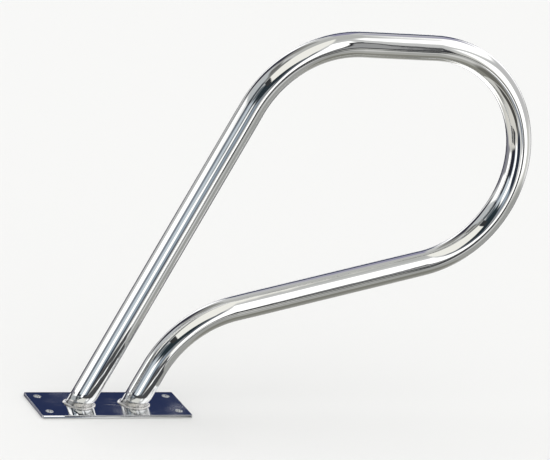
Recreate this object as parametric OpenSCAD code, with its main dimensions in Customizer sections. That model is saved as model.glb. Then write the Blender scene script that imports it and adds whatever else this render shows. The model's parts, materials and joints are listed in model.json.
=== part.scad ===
// Pool handrail: one length of round tube bent into a forward-leaning loop, with both of its
// legs welded to one flat base plate that bolts to the pool deck.
// Millimetres. +Z is up and +X is the way the loop reaches out. The origin is the middle of
// the bolt pattern, on the underside of the plate. The loop lies in the plane Y = 0.

/* [Tube] */
// Outside diameter of the tube
tube_d = 38.1; // [34:0.1:42]
// Wall thickness of the tube
tube_wall = 1.5; // [1:0.1:3]
// Centreline bend radius, in tube diameters
bend_ratio = 4.5; // [4:0.1:5]

/* [Loop] */
// Straight length of the long leg, from the plate to the first bend
leg_len = 505; // [460:1:560]
// Lean of both legs, as degrees above the deck
leg_angle = 66.5; // [62:0.5:72]
// Length of the level straight at the top
top_len = 119; // [80:1:180]
// Slope of the lower run, as degrees above the deck
run_angle = 14.5; // [8:0.5:20]

/* [Base plate] */
// Length of the plate, along the loop
plate_len = 235; // [225:1:300]
// Width of the plate, across the loop
plate_w = 90; // [80:1:120]
// Thickness of the plate
plate_t = 4.8; // [3:0.1:8]
// Radius of the plate's corners
corner_r = 2; // [1:0.5:8]
// Distance between the centres of the two feet
foot_gap = 86; // [80:1:100]
// Shift of the pair of feet from the middle of the plate
foot_shift = -3; // [-10:1:10]

/* [Holes] */
// Diameter of the four bolt holes
hole_d = 11; // [8:0.5:13]
// Distance between bolt holes along the plate
hole_span = 203.2; // [190:0.1:210]
// Distance between bolt holes across the plate
hole_spread = 57.15; // [50:0.05:60]
// Diameter of the vent hole under each foot
vent_d = 6; // [4:0.5:10]

/* [Weld] */
// Leg of the weld bead, on the plate and up the tube
weld_leg = 4.5; // [3:0.5:6]
// Flatness of the bead: how far its arc's centre lies behind the corner
weld_sink = 2; // [0.5:0.5:4]

/* [Hidden] */
$fn = 96;
STEEL = [0.80, 0.81, 0.82];
PLATE = [0.20, 0.24, 0.38];
BEAD = [0.72, 0.71, 0.68];
tube_r = tube_d / 2;
bend_r = bend_ratio * tube_d;
cut_reach = 2 * tube_d; // spare tube below the plate, cut away at its top face
bend_neck = 0.1;        // how much slimmer the tube's radius is in its bends
spare_turn = 2;         // how far a bend is drawn past the cut at its end
clear = 1;              // how far a cutter runs past a face
corner_steps = 6;

// Directions in the loop's own plane, as [along X, along Z].
function heading(a) = [cos(a), sin(a)];
function left_of(a) = [-sin(a), cos(a)];

long_foot = foot_shift - foot_gap / 2;
short_foot = foot_shift + foot_gap / 2;

// The way from the end of the nose bend back to the short leg's foot is shared between the
// lower run and the short leg, which meet in the reverse bend.
way_back = leg_len * heading(leg_angle) + [top_len - foot_gap, 0] - 2 * bend_r * left_of(run_angle);
reverse_sine = cross(heading(run_angle), heading(leg_angle));
run_len = cross(way_back, heading(leg_angle)) / reverse_sine;
stub_len = cross(heading(run_angle), way_back) / reverse_sine;
assert(run_len > 0 && stub_len > 0, "the loop does not close: change a length or an angle");

// The tube's cross-section, necked in by a small step on its radius.
module tube_ring(neck = 0) {
    difference() {
        circle(r = tube_r - neck);
        circle(r = tube_r - tube_wall - neck);
    }
}

// A straight stretch of tube up the Z axis, with what follows it at its far end.
module straight(length) {
    linear_extrude(height = length)
        tube_ring();
    translate([0, 0, length])
        children();
}

// Moves its children round a bend that leaves the Z axis toward +X.
module round_bend(turn) {
    translate([bend_r, 0, 0])
        rotate([0, turn, 0])
            translate([-bend_r, 0, 0])
                children();
}

// A bend toward +X, cut square at its far end, with what follows it there.
module bend(turn) {
    difference() {
        translate([bend_r, 0, 0])
            rotate([-90, 0, 0])
                rotate([0, 0, 180])
                    rotate_extrude(angle = turn + spare_turn)
                        translate([bend_r, 0])
                            tube_ring(bend_neck);
        round_bend(turn)
            translate([-tube_d, -tube_d, 0])
                cube([2 * tube_d, 2 * tube_d, tube_d]);
    }
    round_bend(turn)
        children();
}

// The whole tube in the order that it is bent, with spare length at both feet.
module bent_tube() {
    translate([long_foot, 0, plate_t])
        rotate([0, 90 - leg_angle, 0])
            translate([0, 0, -cut_reach])
                straight(leg_len + cut_reach)
                bend(leg_angle)
                straight(top_len)
                bend(180 - run_angle)
                straight(run_len)
                rotate([0, 0, 180])
                bend(leg_angle - run_angle)
                straight(stub_len + cut_reach);
}

// One length of tube, with both ends cut flat on the plate's top face.
module rail_tube() {
    color(STEEL)
        difference() {
            bent_tube();
            translate([-plate_len, -plate_w, plate_t - 2 * cut_reach])
                cube([2 * plate_len, 2 * plate_w, 2 * cut_reach]);
        }
}

// The plate's outline: a rectangle with rounded corners.
module plate_outline() {
    inner = [plate_len / 2 - corner_r, plate_w / 2 - corner_r];
    corners = [[1, 1], [-1, 1], [-1, -1], [1, -1]];
    polygon([
        for (i = [0 : 3]) for (k = [0 : corner_steps])
            [inner.x * corners[i].x, inner.y * corners[i].y]
                + corner_r * heading(90 * (i + k / corner_steps))
    ]);
}

// The base plate, with four bolt holes and a vent into the tube at each foot.
module base_plate() {
    color(PLATE)
        difference() {
            linear_extrude(height = plate_t)
                plate_outline();
            for (x = [-1, 1]) for (y = [-1, 1])
                translate([x * hole_span / 2, y * hole_spread / 2, -clear])
                    cylinder(d = hole_d, h = plate_t + 2 * clear);
            for (x = [long_foot, short_foot])
                translate([x, 0, -clear])
                    cylinder(d = vent_d, h = plate_t + 2 * clear);
        }
}

// Half of a bead's section: a low convex arc across the corner of tube and plate.
module bead_section() {
    intersection() {
        translate([tube_r - weld_sink, -weld_sink])
            circle(r = norm([weld_leg + weld_sink, weld_sink]));
        translate([tube_r, 0])
            square(2 * weld_leg);
    }
}

// Leans an upright ring like the legs, and stretches it to the oval where they meet the plate.
module leaned() {
    multmatrix([
        [1 / sin(leg_angle), 0, 1 / tan(leg_angle), 0],
        [0, 1, 0, 0],
        [0, 0, 1, 0],
        [0, 0, 0, 1]
    ])
        children();
}

// A weld bead round a leg, in quarters.
module weld_bead(foot) {
    color(BEAD)
        translate([foot, 0, plate_t])
            for (quarter = [0 : 3])
                leaned()
                    rotate([0, 0, 90 * quarter])
                        rotate_extrude(angle = 90)
                            bead_section();
}

module long_leg_weld() {
    weld_bead(long_foot);
}

module short_leg_weld() {
    weld_bead(short_foot);
}

rail_tube();
base_plate();
long_leg_weld();
short_leg_weld();
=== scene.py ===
"""Looks of the pool handrail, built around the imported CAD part, in its frame.

Lengths are in metres. The tube's centreline lies in the plane Y = 0, and +X is the way that
the loop reaches out. Directions in that plane are angles above the deck, turning from +X to +Z.
"""

import json
import math

import bmesh
import bpy
import numpy as np
from mathutils import Matrix, Vector
from mathutils.geometry import delaunay_2d_cdt


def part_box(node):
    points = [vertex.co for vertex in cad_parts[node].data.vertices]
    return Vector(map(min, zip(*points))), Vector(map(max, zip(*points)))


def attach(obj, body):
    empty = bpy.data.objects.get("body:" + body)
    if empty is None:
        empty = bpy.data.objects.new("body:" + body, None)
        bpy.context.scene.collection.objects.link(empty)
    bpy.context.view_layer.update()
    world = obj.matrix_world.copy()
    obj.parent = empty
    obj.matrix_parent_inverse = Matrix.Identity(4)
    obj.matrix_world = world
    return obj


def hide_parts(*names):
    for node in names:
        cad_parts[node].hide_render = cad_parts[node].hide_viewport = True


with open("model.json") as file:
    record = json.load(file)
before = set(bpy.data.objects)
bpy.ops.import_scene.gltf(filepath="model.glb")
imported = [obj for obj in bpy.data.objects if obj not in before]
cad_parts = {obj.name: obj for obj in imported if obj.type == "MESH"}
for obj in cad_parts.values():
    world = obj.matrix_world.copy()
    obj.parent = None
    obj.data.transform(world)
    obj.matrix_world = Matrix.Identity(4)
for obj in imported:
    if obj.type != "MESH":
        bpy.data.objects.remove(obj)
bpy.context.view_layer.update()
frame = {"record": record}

# Driving dimensions, the same as the CAD part's.
TUBE_R = 0.01905
TUBE_WALL = 0.0015
BEND_R = 4.5 * 2 * TUBE_R
LEG_LEN = 0.505
LEG_ANGLE = math.radians(66.5)
TOP_LEN = 0.119
RUN_ANGLE = math.radians(14.5)
FOOT_GAP = 0.086
FOOT_SHIFT = -0.003
VENT_R = 0.003
PLATE_CORNER_R = 0.002
WELD_LEG = 0.0045
BEND_SLIM = 0.0002  # a bent length is this much slimmer than a straight one

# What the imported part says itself.
plate_low, plate_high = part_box("base_plate")
PLATE_T = plate_high.z
mounts = {m["name"]: m for m in frame["record"]["mounts"]}
bolt_dims = mounts["deck_bolts"]["dims"]
HOLE_R = bolt_dims["hole_r_mm"] / 1000
HOLE_SPAN = bolt_dims["spacing_x_mm"] / 1000
HOLE_SPREAD = bolt_dims["spacing_y_mm"] / 1000

LONG_FOOT = FOOT_SHIFT - FOOT_GAP / 2
SHORT_FOOT = FOOT_SHIFT + FOOT_GAP / 2


# ---------------------------------------------------------------- small helpers

def heading(angle):
    """The unit vector at an angle."""
    return np.array([math.cos(angle), math.sin(angle)])


def left_of(angle):
    """The unit vector a quarter turn on from an angle."""
    return np.array([-math.sin(angle), math.cos(angle)])


def make_piece(name, points, faces):
    """A smooth-shaded mesh object with clean, outward normals."""
    mesh = bpy.data.meshes.new(name)
    mesh.from_pydata([tuple(p) for p in points], [], [tuple(f) for f in faces])
    mesh.validate()
    piece = bpy.data.objects.new(name, mesh)
    bpy.context.scene.collection.objects.link(piece)
    work = bmesh.new()
    work.from_mesh(mesh)
    bmesh.ops.recalc_face_normals(work, faces=work.faces)
    work.to_mesh(mesh)
    work.free()
    mesh.shade_smooth()
    return piece


# ---------------------------------------------------------------- rail tube

def rail_path():
    """Stations down the centreline, long foot to short foot: point [X, Z], heading, radius."""
    way_back = (
        LEG_LEN * heading(LEG_ANGLE)
        + np.array([TOP_LEN - FOOT_GAP, 0])
        - 2 * BEND_R * left_of(RUN_ANGLE)
    )
    run, leg = heading(RUN_ANGLE), heading(LEG_ANGLE)
    sine = run[0] * leg[1] - run[1] * leg[0]
    run_len = (way_back[0] * leg[1] - way_back[1] * leg[0]) / sine
    stub_len = (run[0] * way_back[1] - run[1] * way_back[0]) / sine

    at = np.array([LONG_FOOT, PLATE_T])
    angle = LEG_ANGLE
    stations = [(at, angle, TUBE_R)]

    def straight(length, step=0.02):
        nonlocal at
        count = max(2, round(length / step))
        start = at
        for k in range(1, count + 1):
            at = start + heading(angle) * length * k / count
            stations.append((at, angle, TUBE_R))

    def bend(turn, step=math.radians(1.25)):
        """Turns by an angle: clockwise where it is negative."""
        nonlocal at, angle
        count = round(abs(turn) / step)
        side = math.copysign(1, turn)
        centre = at + side * BEND_R * left_of(angle)
        start = angle
        stations[-1] = (at, angle, TUBE_R - BEND_SLIM)
        for k in range(1, count + 1):
            angle = start + turn * k / count
            at = centre - side * BEND_R * left_of(angle)
            stations.append((at, angle, TUBE_R - BEND_SLIM))

    straight(LEG_LEN)
    bend(-LEG_ANGLE)
    straight(TOP_LEN)
    bend(-(math.pi - RUN_ANGLE))
    straight(run_len)
    bend(LEG_ANGLE - RUN_ANGLE)
    straight(stub_len)
    return stations


def build_tube():
    """The bent tube: an outer skin, a bore and a ring of wall at each foot."""
    around = 144
    turns = np.linspace(0, 2 * math.pi, around, endpoint=False)
    stations = rail_path()
    points, faces = [], []
    for depth in (0, TUBE_WALL):
        for k, (at, angle, outer) in enumerate(stations):
            radius = outer - depth
            side = left_of(angle)
            along = heading(angle)
            for turn in turns:
                x, z = at + radius * (math.cos(turn) * side)
                point = np.array([x, radius * math.sin(turn), z])
                if k in (0, len(stations) - 1):  # a cut end, slid along the leg to the plate
                    slide = (PLATE_T - z) / along[1]
                    point += slide * np.array([along[0], 0, along[1]])
                points.append(point)
    skin = len(stations) * around
    for shell in (0, 1):
        for k in range(len(stations) - 1):
            for j in range(around):
                a = shell * skin + k * around + j
                b = shell * skin + k * around + (j + 1) % around
                faces.append((a, b, b + around, a + around))
    for end in (0, (len(stations) - 1) * around):
        for j in range(around):
            a, b = end + j, end + (j + 1) % around
            faces.append((a, b, skin + b, skin + a))
    return make_piece("rail_tube_skin", points, faces)


# ---------------------------------------------------------------- base plate

def rounded_outline(inset):
    """The plate's outline, drawn in by an inset."""
    per_corner = 10
    half = np.array([(plate_high.x - plate_low.x) / 2, (plate_high.y - plate_low.y) / 2])
    middle = np.array([(plate_high.x + plate_low.x) / 2, (plate_high.y + plate_low.y) / 2])
    loop = []
    for k, signs in enumerate(((1, 1), (-1, 1), (-1, -1), (1, -1))):
        centre = middle + np.array(signs) * (half - PLATE_CORNER_R)
        for j in range(per_corner + 1):
            turn = math.pi / 2 * (k + j / per_corner)
            loop.append(centre + (PLATE_CORNER_R - inset) * heading(turn))
    return loop


def hole_outline(centre, radius):
    count = 48
    return [centre + radius * heading(2 * math.pi * j / count) for j in range(count)]


def build_plate():
    """The plate, with softened edges all round and softened rims on its holes."""
    outer_soft, rim_soft, steps = 0.0006, 0.0004, 4
    level = 0.9999  # the upright share of a normal above which its face counts as level
    holes = [
        (np.array([sx * HOLE_SPAN / 2, sy * HOLE_SPREAD / 2]), HOLE_R)
        for sx in (-1, 1) for sy in (-1, 1)
    ]
    holes += [(np.array([x, 0.0]), VENT_R) for x in (LONG_FOOT, SHORT_FOOT)]

    # Up the plate: how far each ring is from the face, how far it's drawn in, and which face.
    rounding = [math.pi / 2 * k / steps for k in range(steps + 1)]
    stack = [(1 - math.cos(a), 1 - math.sin(a), False) for a in rounding]
    stack += [(rise, draw, True) for rise, draw, _ in reversed(stack)]

    points, faces, loops_by_level = [], [], []
    for rise, draw, top in stack:
        loops = []
        outline_z = PLATE_T - rise * outer_soft if top else rise * outer_soft
        rim_z = PLATE_T - rise * rim_soft if top else rise * rim_soft
        for flat, z in [(rounded_outline(draw * outer_soft), outline_z)] + [
            (hole_outline(c, r + draw * rim_soft), rim_z) for c, r in holes
        ]:
            first = len(points)
            points.extend((p[0], p[1], z) for p in flat)
            loops.append(list(range(first, first + len(flat))))
        loops_by_level.append(loops)
    for lower, upper in zip(loops_by_level, loops_by_level[1:]):
        for a, b in zip(lower, upper):
            for j in range(len(a)):
                k = (j + 1) % len(a)
                faces.append((a[j], a[k], b[k], b[j]))

    # The two faces: every triangle but those that span a hole, all on that hole's own ring.
    inside_outline, merge_within = 1, 1e-9  # the kind of filling, and its tolerance
    for loops in (loops_by_level[0], loops_by_level[-1]):
        index, edges, loop_of = [], [], []
        for number, loop in enumerate(loops):
            first = len(index)
            edges += [(first + j, first + (j + 1) % len(loop)) for j in range(len(loop))]
            loop_of += [number] * len(loop)
            index += loop
        flat = [Vector(points[i][:2]) for i in index]
        triangles = delaunay_2d_cdt(flat, edges, [], inside_outline, merge_within)[2]
        for triangle in triangles:
            rings = {loop_of[i] for i in triangle}
            if len(rings) > 1 or 0 in rings:
                faces.append(tuple(index[i] for i in triangle))

    plate = make_piece("base_plate_body", points, faces)
    for polygon in plate.data.polygons:
        if abs(polygon.normal.z) > level:
            polygon.use_smooth = False
    return plate


# ---------------------------------------------------------------- weld beads

def build_weld(name, foot, seed):
    """A weld bead round a leg's oval foot, laid down in overlapping ripples."""
    ripples, per_ripple, across = 56, 14, 18
    bow = 0.55                          # how far a ripple bows forward in the bead's middle
    climb, fall = 0.12, 0.7             # how a ripple rises over the last, and falls away
    slim, squat = 0.85, 0.55            # width over the CAD bead's, height over width
    sway, dip = 0.05, 0.05              # uneven width, and how far it draws in between ripples
    roundness, fullness = 0.70, 0.10    # of the bead's face, and more of it in the middle
    height_sway, crest_height = 0.012, 0.055
    hollow = 1.35                       # draws the face in towards both toes
    into_tube, into_plate = 0.00015, 0.00005
    root_in, root_down = 0.0004, 0.0002

    around = ripples * per_ripple
    lean = 1 / math.tan(LEG_ANGLE)
    stretch = 1 / math.sin(LEG_ANGLE)
    rng = np.random.default_rng(seed)
    width_wave = rng.uniform(-1, 1, ripples)
    height_wave = rng.uniform(-1, 1, ripples)

    def round_the_leg(radius, turn, height):
        """A point at a height over the plate, on a leaning cylinder round the leg's axis."""
        x, y = radius * math.cos(turn), radius * math.sin(turn)
        return (foot + stretch * x + lean * height, y, PLATE_T + height)

    points, faces = [], []
    for i in range(around):
        turn = 2 * math.pi * i / around
        for j in range(across + 1):
            v = j / across  # 0 at the toe on the plate, 1 at the toe on the tube
            middle = math.sin(math.pi * v)
            place = i / per_ripple + bow * (1 - (2 * v - 1) ** 2)
            k = int(math.floor(place)) % ripples
            part = place - math.floor(place)
            crest = (1 - part) ** fall * min(1, part / climb)
            swell = sway * width_wave[k] * math.sin(math.pi * part)
            width = WELD_LEG * (slim + swell - dip * (1 - crest))
            bulge = roundness + fullness * middle + height_sway * height_wave[k]
            bulge += crest_height * crest * middle
            power = 2 / (1 + bulge) * hollow
            a = v * math.pi / 2
            out = width * math.cos(a) ** power
            up = squat * width * math.sin(a) ** power
            points.append(round_the_leg(TUBE_R + out - into_tube, turn, up - into_plate))
        points.append(round_the_leg(TUBE_R - root_in, turn, -root_down))
    row = across + 2
    for i in range(around):
        n = (i + 1) % around
        for j in range(row):
            k = (j + 1) % row
            faces.append((i * row + j, i * row + k, n * row + k, n * row + j))
    return make_piece(name, points, faces)


# ---------------------------------------------------------------- shader helpers

def new_material(name):
    """A material with one plain shader, and that shader."""
    material = bpy.data.materials.new(name)
    material.use_nodes = True
    nodes = material.node_tree.nodes
    nodes.clear()
    output = nodes.new("ShaderNodeOutputMaterial")
    shader = nodes.new("ShaderNodeBsdfPrincipled")
    material.node_tree.links.new(shader.outputs["BSDF"], output.inputs["Surface"])
    return material, shader


def feed(tree, socket, value):
    """Links a value into a socket, or sets it there where it's a constant."""
    if isinstance(value, bpy.types.NodeSocket):
        tree.links.new(value, socket)
    elif value is not None:
        socket.default_value = value


def arithmetic(tree, operation, first, second=None):
    """The result of a sum on sockets or constants."""
    node = tree.nodes.new("ShaderNodeMath")
    node.operation = operation
    feed(tree, node.inputs[0], first)
    feed(tree, node.inputs[1], second)
    return node.outputs[0]


def map_range(tree, value, come, go, interpolation="LINEAR"):
    """The value, moved from one range to another and held inside it."""
    node = tree.nodes.new("ShaderNodeMapRange")
    node.interpolation_type = interpolation
    node.inputs["From Min"].default_value, node.inputs["From Max"].default_value = come
    node.inputs["To Min"].default_value, node.inputs["To Max"].default_value = go
    feed(tree, node.inputs["Value"], value)
    return node.outputs["Result"]


def soft_step(tree, value, low, high):
    """0 below low and 1 above high, eased between; falls instead where low is above high."""
    if high > low:
        return map_range(tree, value, (low, high), (0, 1), "SMOOTHSTEP")
    return map_range(tree, value, (high, low), (1, 0), "SMOOTHSTEP")


def soft_band(tree, value, low, high, half):
    """1 from low to high and 0 outside, eased over a half width to each side of both."""
    return arithmetic(
        tree, "MULTIPLY",
        soft_step(tree, value, low - half, low + half),
        soft_step(tree, value, high + half, high - half),
    )


def blend_colours(tree, share, first, second):
    """The first colour where the share is 0, and the second where it is 1."""
    node = tree.nodes.new("ShaderNodeMix")
    node.data_type = "RGBA"
    feed(tree, node.inputs[0], share)
    colour_sockets = [x for x in node.inputs if x.type == "RGBA"]
    for socket, value in zip(colour_sockets, (first, second)):
        feed(tree, socket, value)
    return [x for x in node.outputs if x.type == "RGBA"][0]


# ---------------------------------------------------------------- metals

# How fine each pattern in the metal is: more to the metre where the scale is larger.
SAG_SCALE, WAVE_SCALE = 7, 26
LINE_STRETCH, LINE_SCALE = (900, 120, 900), 3
LINE_DEPTH, LINE_STRENGTH = 0.000002, 0.25
SMEAR_SCALE, SMEAR_RANGE = 14, (0.50, 0.78)
WISP_SCALE, WISP_TURN, WISP_RANGE = (45, 170, 45), math.radians(32), (0.42, 0.66)


def polished_steel(name, tint, roughness, smeared, wave_height, sag_height, wiped=()):
    """Bright metal: a base roughness, one for its smears, and the heights of its waves.

    Wiped spots, each a centre (X, Y) and a half-width, carry feathery smears of their own.
    """
    material, shader = new_material(name)
    tree = material.node_tree
    shader.inputs["Metallic"].default_value = 1.0
    shader.inputs["Base Color"].default_value = (*tint, 1)
    here = tree.nodes.new("ShaderNodeTexCoord").outputs["Object"]

    def stretched(scale, turn=0):
        """The place, turned about the upright and scaled along each axis."""
        node = tree.nodes.new("ShaderNodeMapping")
        node.inputs["Rotation"].default_value = (0, 0, turn)
        node.inputs["Scale"].default_value = scale
        feed(tree, node.inputs["Vector"], here)
        return node.outputs["Vector"]

    def noise(vector, scale, detail):
        node = tree.nodes.new("ShaderNodeTexNoise")
        node.inputs["Scale"].default_value = scale
        node.inputs["Detail"].default_value = detail
        feed(tree, node.inputs["Vector"], vector)
        return node.outputs["Fac"]

    def bump(height, distance, strength=1.0, normal=None):
        """The normal of a relief, laid over an earlier one where that is given."""
        node = tree.nodes.new("ShaderNodeBump")
        node.inputs["Strength"].default_value = strength
        node.inputs["Distance"].default_value = distance
        feed(tree, node.inputs["Height"], height)
        feed(tree, node.inputs["Normal"], normal)
        return node.outputs["Normal"]

    # Sags bend the mirrored streaks, long shallow waves are left by bending and buffing, and
    # fine buffing lines lie over both.
    relief = bump(noise(here, SAG_SCALE, detail=0), sag_height)
    relief = bump(noise(here, WAVE_SCALE, detail=1.5), wave_height, normal=relief)
    lines = noise(stretched(LINE_STRETCH), LINE_SCALE, detail=3)
    relief = bump(lines, LINE_DEPTH, LINE_STRENGTH, relief)
    feed(tree, shader.inputs["Normal"], relief)

    # Smears and handling marks make the polish a little uneven.
    smears = map_range(tree, noise(here, SMEAR_SCALE, detail=5), SMEAR_RANGE, (0, 1))
    wisps = noise(stretched(WISP_SCALE, WISP_TURN), scale=1, detail=4)
    feathery = map_range(tree, wisps, WISP_RANGE, (0, 1))
    for (x, y), half_width in wiped:
        offset = tree.nodes.new("ShaderNodeVectorMath")
        offset.operation = "DISTANCE"
        feed(tree, offset.inputs[0], here)
        offset.inputs[1].default_value = (x, y, PLATE_T)
        spot = map_range(tree, offset.outputs["Value"], (0, half_width), (1, 0))
        smears = arithmetic(tree, "MAXIMUM", smears, arithmetic(tree, "MULTIPLY", spot, feathery))
    uneven = map_range(tree, smears, (0, 1), (roughness, smeared))
    feed(tree, shader.inputs["Roughness"], uneven)
    return material


tube_steel = polished_steel(
    "polished_tube_steel", tint=(0.80, 0.80, 0.79), roughness=0.025, smeared=0.09,
    wave_height=0.00012, sag_height=0.0014,
)
plate_steel = polished_steel(
    "polished_plate_steel", tint=(0.78, 0.79, 0.80), roughness=0.04, smeared=0.34,
    wave_height=0.00003, sag_height=0.0001,
    wiped=[((-0.076, 0.013), 0.034), ((0.006, 0.0), 0.034), ((0.100, -0.002), 0.036)],
)
weld_metal = polished_steel(
    "weld_metal", tint=(0.58, 0.57, 0.56), roughness=0.12, smeared=0.30,
    wave_height=0.00002, sag_height=0.0,
)


# ---------------------------------------------------------------- the pieces

def settle(piece, material, node):
    """Gives a piece its metal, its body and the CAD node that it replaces."""
    piece.data.materials.append(material)
    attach(piece, "root")
    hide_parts(node)


settle(build_tube(), tube_steel, "rail_tube")
settle(build_plate(), plate_steel, "base_plate")
settle(build_weld("long_leg_bead", LONG_FOOT, 3), weld_metal, "long_leg_weld")
settle(build_weld("short_leg_bead", SHORT_FOOT, 8), weld_metal, "short_leg_weld")


# ---------------------------------------------------------------- stage, light and camera

def flat_sheet(name, rectangles, height, colour):
    """A dull sheet of one or more rectangles, each given by its spans in X and in Y."""
    corners, faces = [], []
    for (left, right), (near, far) in rectangles:
        first = len(corners)
        corners += [(left, near, 0), (right, near, 0), (right, far, 0), (left, far, 0)]
        faces.append(tuple(range(first, first + 4)))
    mesh = bpy.data.meshes.new(name)
    mesh.from_pydata(corners, [], faces)
    sheet = bpy.data.objects.new(name, mesh)
    sheet.location.z = height
    bpy.context.scene.collection.objects.link(sheet)
    material, shader = new_material(name + "_dull")
    shader.inputs["Base Color"].default_value = (*colour, 1)
    shader.inputs["Roughness"].default_value = 0.9
    mesh.materials.append(material)
    return sheet


def build_floor():
    """A pale floor, level with the deck."""
    reach = 12.0
    everywhere = ((-reach, reach), (-reach, reach))
    floor = flat_sheet("floor", [everywhere], -0.0004, (0.80, 0.80, 0.79))
    floor.visible_glossy = False  # the metal mirrors the studio's own deck instead


def build_mirror_only_dark_sheets():
    """Two dark sheets on the deck in front of the feet, hidden from all but the metal's
    mirroring.
    """
    width = (-0.08, 0.16)
    dark_patches = [(width, (-0.42, -0.20)), (width, (-0.155, -0.052))]
    # Near-black and seen only in reflections: it darkens the deck that the metal mirrors in front
    # of the feet.
    dark_sheet = flat_sheet("mirror_only_dark_sheet", dark_patches, 0.0002, (0.045, 0.047, 0.052))
    dark_sheet.visible_camera = False
    dark_sheet.visible_diffuse = False
    dark_sheet.visible_shadow = False


# The studio that the polished metal mirrors. Each line is one soft-edged patch of it: what it
# is, the span of bearings (0 looks along +Y, 90 along +X), the span of elevations, the width of
# its soft edge, and its display grey or colour as seen in the metal. Later lines cover earlier.
# The spans and greys are set one by one after the streaks that the photo shows on the metal. What
# really stood round the rail isn't known, so the names are guesses.
SURROUNDINGS = [
    ("pale deck all round", -200, 200, -95, 0, 6, (196, 196, 192)),
    ("pale walls all round", -200, 200, 0, 95, 6, (190, 191, 191)),
    ("ceiling", -200, 200, 64, 95, 8, (176, 177, 175)),
    ("dim room behind the camera", -200, -131, 5, 31, 4, (38, 48, 54)),
    ("grey edge of that room", -133, -116, 17, 31, 5, (86, 94, 100)),
    ("wall beyond the beam, low", -113, -93, 19, 38, 5, (74, 80, 86)),
    ("wall beyond the beam, high", -113, -88, 38, 62, 6, (116, 118, 117)),
    ("dark edge of the water", -172, -151, -30, 5, 4, (70, 78, 92)),
    ("blue water behind the camera", -172, -151, -4, 3.5, 2.5, (146, 158, 169)),
    ("shaded step behind the camera", -200, -170, -12, 3, 5, (120, 126, 136)),
    ("white sill behind the camera", -200, -169, -31, -12, 3, (234, 236, 238)),
    ("first white panel", -151, -132, -32, 10, 5, (250, 252, 253)),
    ("pale blue curtain", -133, -111, -24, 18, 6, (188, 197, 205)),
    ("dark gap between the panels", -112, -94, -26, 22, 4, (44, 48, 58)),
    ("blue-grey board in the gap", -114, -92, 12, 18.5, 3, (122, 130, 140)),
    ("second white panel", -94, -50, -24, 19, 5, (252, 252, 252)),
    ("dark foot of the gap", -128, -97, -28, -4, 4, (38, 40, 50)),
    ("dark edge of the water, low", -175, -147, -30, -5, 4, (42, 48, 60)),
    ("grey pillar, low", -68, -42, -30, -5, 5, (140, 140, 144)),
    ("grey wall above it", -94, -46, 20, 44, 6, (178, 182, 185)),
    ("shaded band above that", -94, -58, 43, 55, 4, (104, 104, 103)),
    ("grey beam across the left", -50, -6, 42, 66, 6, (134, 134, 131)),
    ("dark opening, left", -37, -8, 7, 46, 4, (54, 54, 66)),
    ("grey curtain, left", -44, -10, -32, 0, 8, (122, 122, 132)),
    ("white deck beyond", -12, 32, -95, -29, 6, (255, 255, 255)),
    ("white deck below", -60, 60, -95, -60, 8, (246, 245, 242)),
    ("white wall beyond", -5, 62, -2, 30, 8, (246, 246, 248)),
    ("navy curtain beyond", 9, 40, 7, 33, 5, (38, 47, 78)),
    ("its pale top", 12, 30, 33, 58, 6, (142, 140, 162)),
    ("its slanting edge", 37, 56, 30, 54, 8, (160, 158, 178)),
    ("white wall, high right", 62, 142, 28, 62, 7, (254, 254, 254)),
    ("grey wall, right", 78, 119, -5, 28, 8, (186, 186, 187)),
    ("white door, right", 118, 147, -17, 18, 5, (254, 254, 253)),
    ("white wall beside the camera", 156, 172, -18, 50, 3, (250, 250, 250)),
    ("dark frame of a grey door", 151.5, 160, -17, 34, 1, (42, 43, 46)),
    ("grey door in it", 152.8, 158.5, -10, 25, 1.2, (146, 147, 148)),
    ("dim room, right of the camera", 173, 200, -2, 30, 4, (88, 94, 102)),
    ("blue-grey step, right", 157, 171, -28, -18, 3, (120, 128, 140)),
    ("pale deck, right", 32, 92, -26, -5, 6, (224, 224, 224)),
    ("grey deck, right", 56, 158, -43, -20, 6, (152, 153, 151)),
    ("dark water straight beyond", -16, 56, -31, -4, 8, (46, 47, 60)),
    ("light joint in the grey deck", 130, 147, -28, -22, 3, (196, 197, 197)),
    ("white step below the frame", 155, 160, -23.5, -19, 1, (252, 252, 252)),
    ("light tiles in the grey deck", 147, 158, -43, -27, 4, (200, 200, 198)),
    ("dark foot of the door", 146.5, 151.5, -27, -13, 2, (52, 54, 58)),
    ("olive deck, right", 86, 131, -62, -43, 6, (122, 122, 115)),
    ("grey deck by the camera", 131, 160, -60, -43, 6, (162, 162, 158)),
    ("worn tiles, right", 36, 86, -62, -40, 6, (138, 138, 133)),
    ("olive deck below, right", 62, 200, -95, -60, 8, (128, 128, 121)),
    ("olive deck by the camera", 158, 200, -62, -30, 7, (104, 103, 98)),
    ("shadow by the camera", -176, -151, -62, -31, 5, (72, 71, 68)),
    ("beige deck, left", -151, -42, -56, -28, 6, (207, 205, 199)),
    ("shadow on the deck, left", -122, -66, -84, -66, 7, (140, 140, 134)),
]


# Two flat, sharp-edged panels of the ceiling, given as sideways distance over height: the spans
# across and along, how far the near edge slants, and the colour.
CEILING_PANELS = [
    ("beam beside the skylight", -1.32, -0.90, -2.6, -0.10, 0.4, (50, 52, 54)),
    ("skylight", -1.05, 0.08, -2.25, -0.05, 0.4, (237, 236, 230)),
]


def seen_in_metal(grey):
    """The light that a surface must send for the metal to show this display colour."""
    reflectance = 0.80
    glare_from, glare = 240, 1.25  # the brightest patches are brighter than a display can show
    linear = []
    for level in grey:
        share = level / 255
        value = share / 12.92 if share <= 0.04045 else ((share + 0.055) / 1.055) ** 2.4
        linear.append(value / reflectance * (glare if level > glare_from else 1.0))
    return (*linear, 1)


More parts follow.
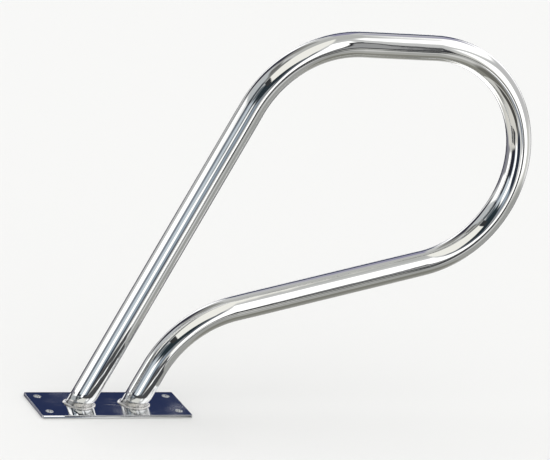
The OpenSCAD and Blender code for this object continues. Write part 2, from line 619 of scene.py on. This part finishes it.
def build_world():
    """The mirrored studio for reflections, and plain soft light for everything else."""
    world = bpy.data.worlds.new("studio")
    bpy.context.scene.world = world
    world.use_nodes = True
    tree = world.node_tree
    nodes, links = tree.nodes, tree.links
    nodes.clear()

    place = nodes.new("ShaderNodeTexCoord")
    parts = nodes.new("ShaderNodeSeparateXYZ")
    links.new(place.outputs["Generated"], parts.inputs[0])
    east, north, upward = (parts.outputs[axis] for axis in "XYZ")
    bearing = arithmetic(tree, "DEGREES", arithmetic(tree, "ARCTAN2", east, north))
    elevation = arithmetic(tree, "DEGREES", arithmetic(tree, "ARCSINE", upward))

    mirrored = seen_in_metal((190, 190, 190))  # a plain start, covered by the first two patches
    for _, left, right, low, high, soft, grey in SURROUNDINGS:
        mask = arithmetic(
            tree, "MULTIPLY",
            soft_band(tree, bearing, left, right, soft / 2),
            soft_band(tree, elevation, low, high, soft / 2),
        )
        mirrored = blend_colours(tree, mask, mirrored, seen_in_metal(grey))

    height = arithmetic(tree, "MAXIMUM", upward, 0.01)  # never 0, even at the horizon
    across = arithmetic(tree, "DIVIDE", east, height)
    along = arithmetic(tree, "DIVIDE", north, height)
    half, far_half = 0.02, 0.08  # half the width of the soft edges
    for _, left, right, far, near, slant, grey in CEILING_PANELS:
        slanted = arithmetic(tree, "SUBTRACT", along, arithmetic(tree, "MULTIPLY", across, slant))
        lengthways = arithmetic(
            tree, "MULTIPLY",
            soft_step(tree, along, far - far_half, far + far_half),
            soft_step(tree, slanted, near + half, near - half),
        )
        sideways = soft_band(tree, across, left, right, half)
        mask = arithmetic(tree, "MULTIPLY", sideways, lengthways)
        mirrored = blend_colours(tree, mask, mirrored, seen_in_metal(grey))

    path = nodes.new("ShaderNodeLightPath")
    plain_light = (1.18, 1.18, 1.18, 1)
    colour = blend_colours(tree, path.outputs["Is Glossy Ray"], plain_light, mirrored)
    light = nodes.new("ShaderNodeBackground")
    links.new(colour, light.inputs["Color"])
    output = nodes.new("ShaderNodeOutputWorld")
    links.new(light.outputs["Background"], output.inputs["Surface"])


def build_camera():
    """The camera, from its direction round the object, height above it and tilt.

    Its numbers are a fit to the object's outline, plate corners and bolt holes in the photo.
    """
    azimuth, elevation, roll = (math.radians(a) for a in (-25.193, 17.464, 9.259))
    distance = 4.749
    target = Vector((0.22243, 0, 0.28125))
    back = Vector((
        math.sin(azimuth) * math.cos(elevation),
        -math.cos(azimuth) * math.cos(elevation),
        math.sin(elevation),
    ))
    right = (-back).cross(Vector((0, 0, 1))).normalized()
    up = right.cross(-back)
    across = math.cos(roll) * right + math.sin(roll) * up
    upward = -math.sin(roll) * right + math.cos(roll) * up
    place = Matrix((across, upward, back)).transposed().to_4x4()
    place.translation = target + back * distance

    lens = bpy.data.cameras.new("camera")
    lens.sensor_width = 36
    lens.lens = 210.5
    camera = bpy.data.objects.new("camera", lens)
    camera.matrix_world = place
    bpy.context.scene.collection.objects.link(camera)
    bpy.context.scene.camera = camera


build_floor()
# Dark sheets that only the metal's reflections show, darkening the mirrored deck in front of the
# feet.
build_mirror_only_dark_sheets()
build_world()
build_camera()
bpy.context.scene.view_settings.view_transform = "Standard"
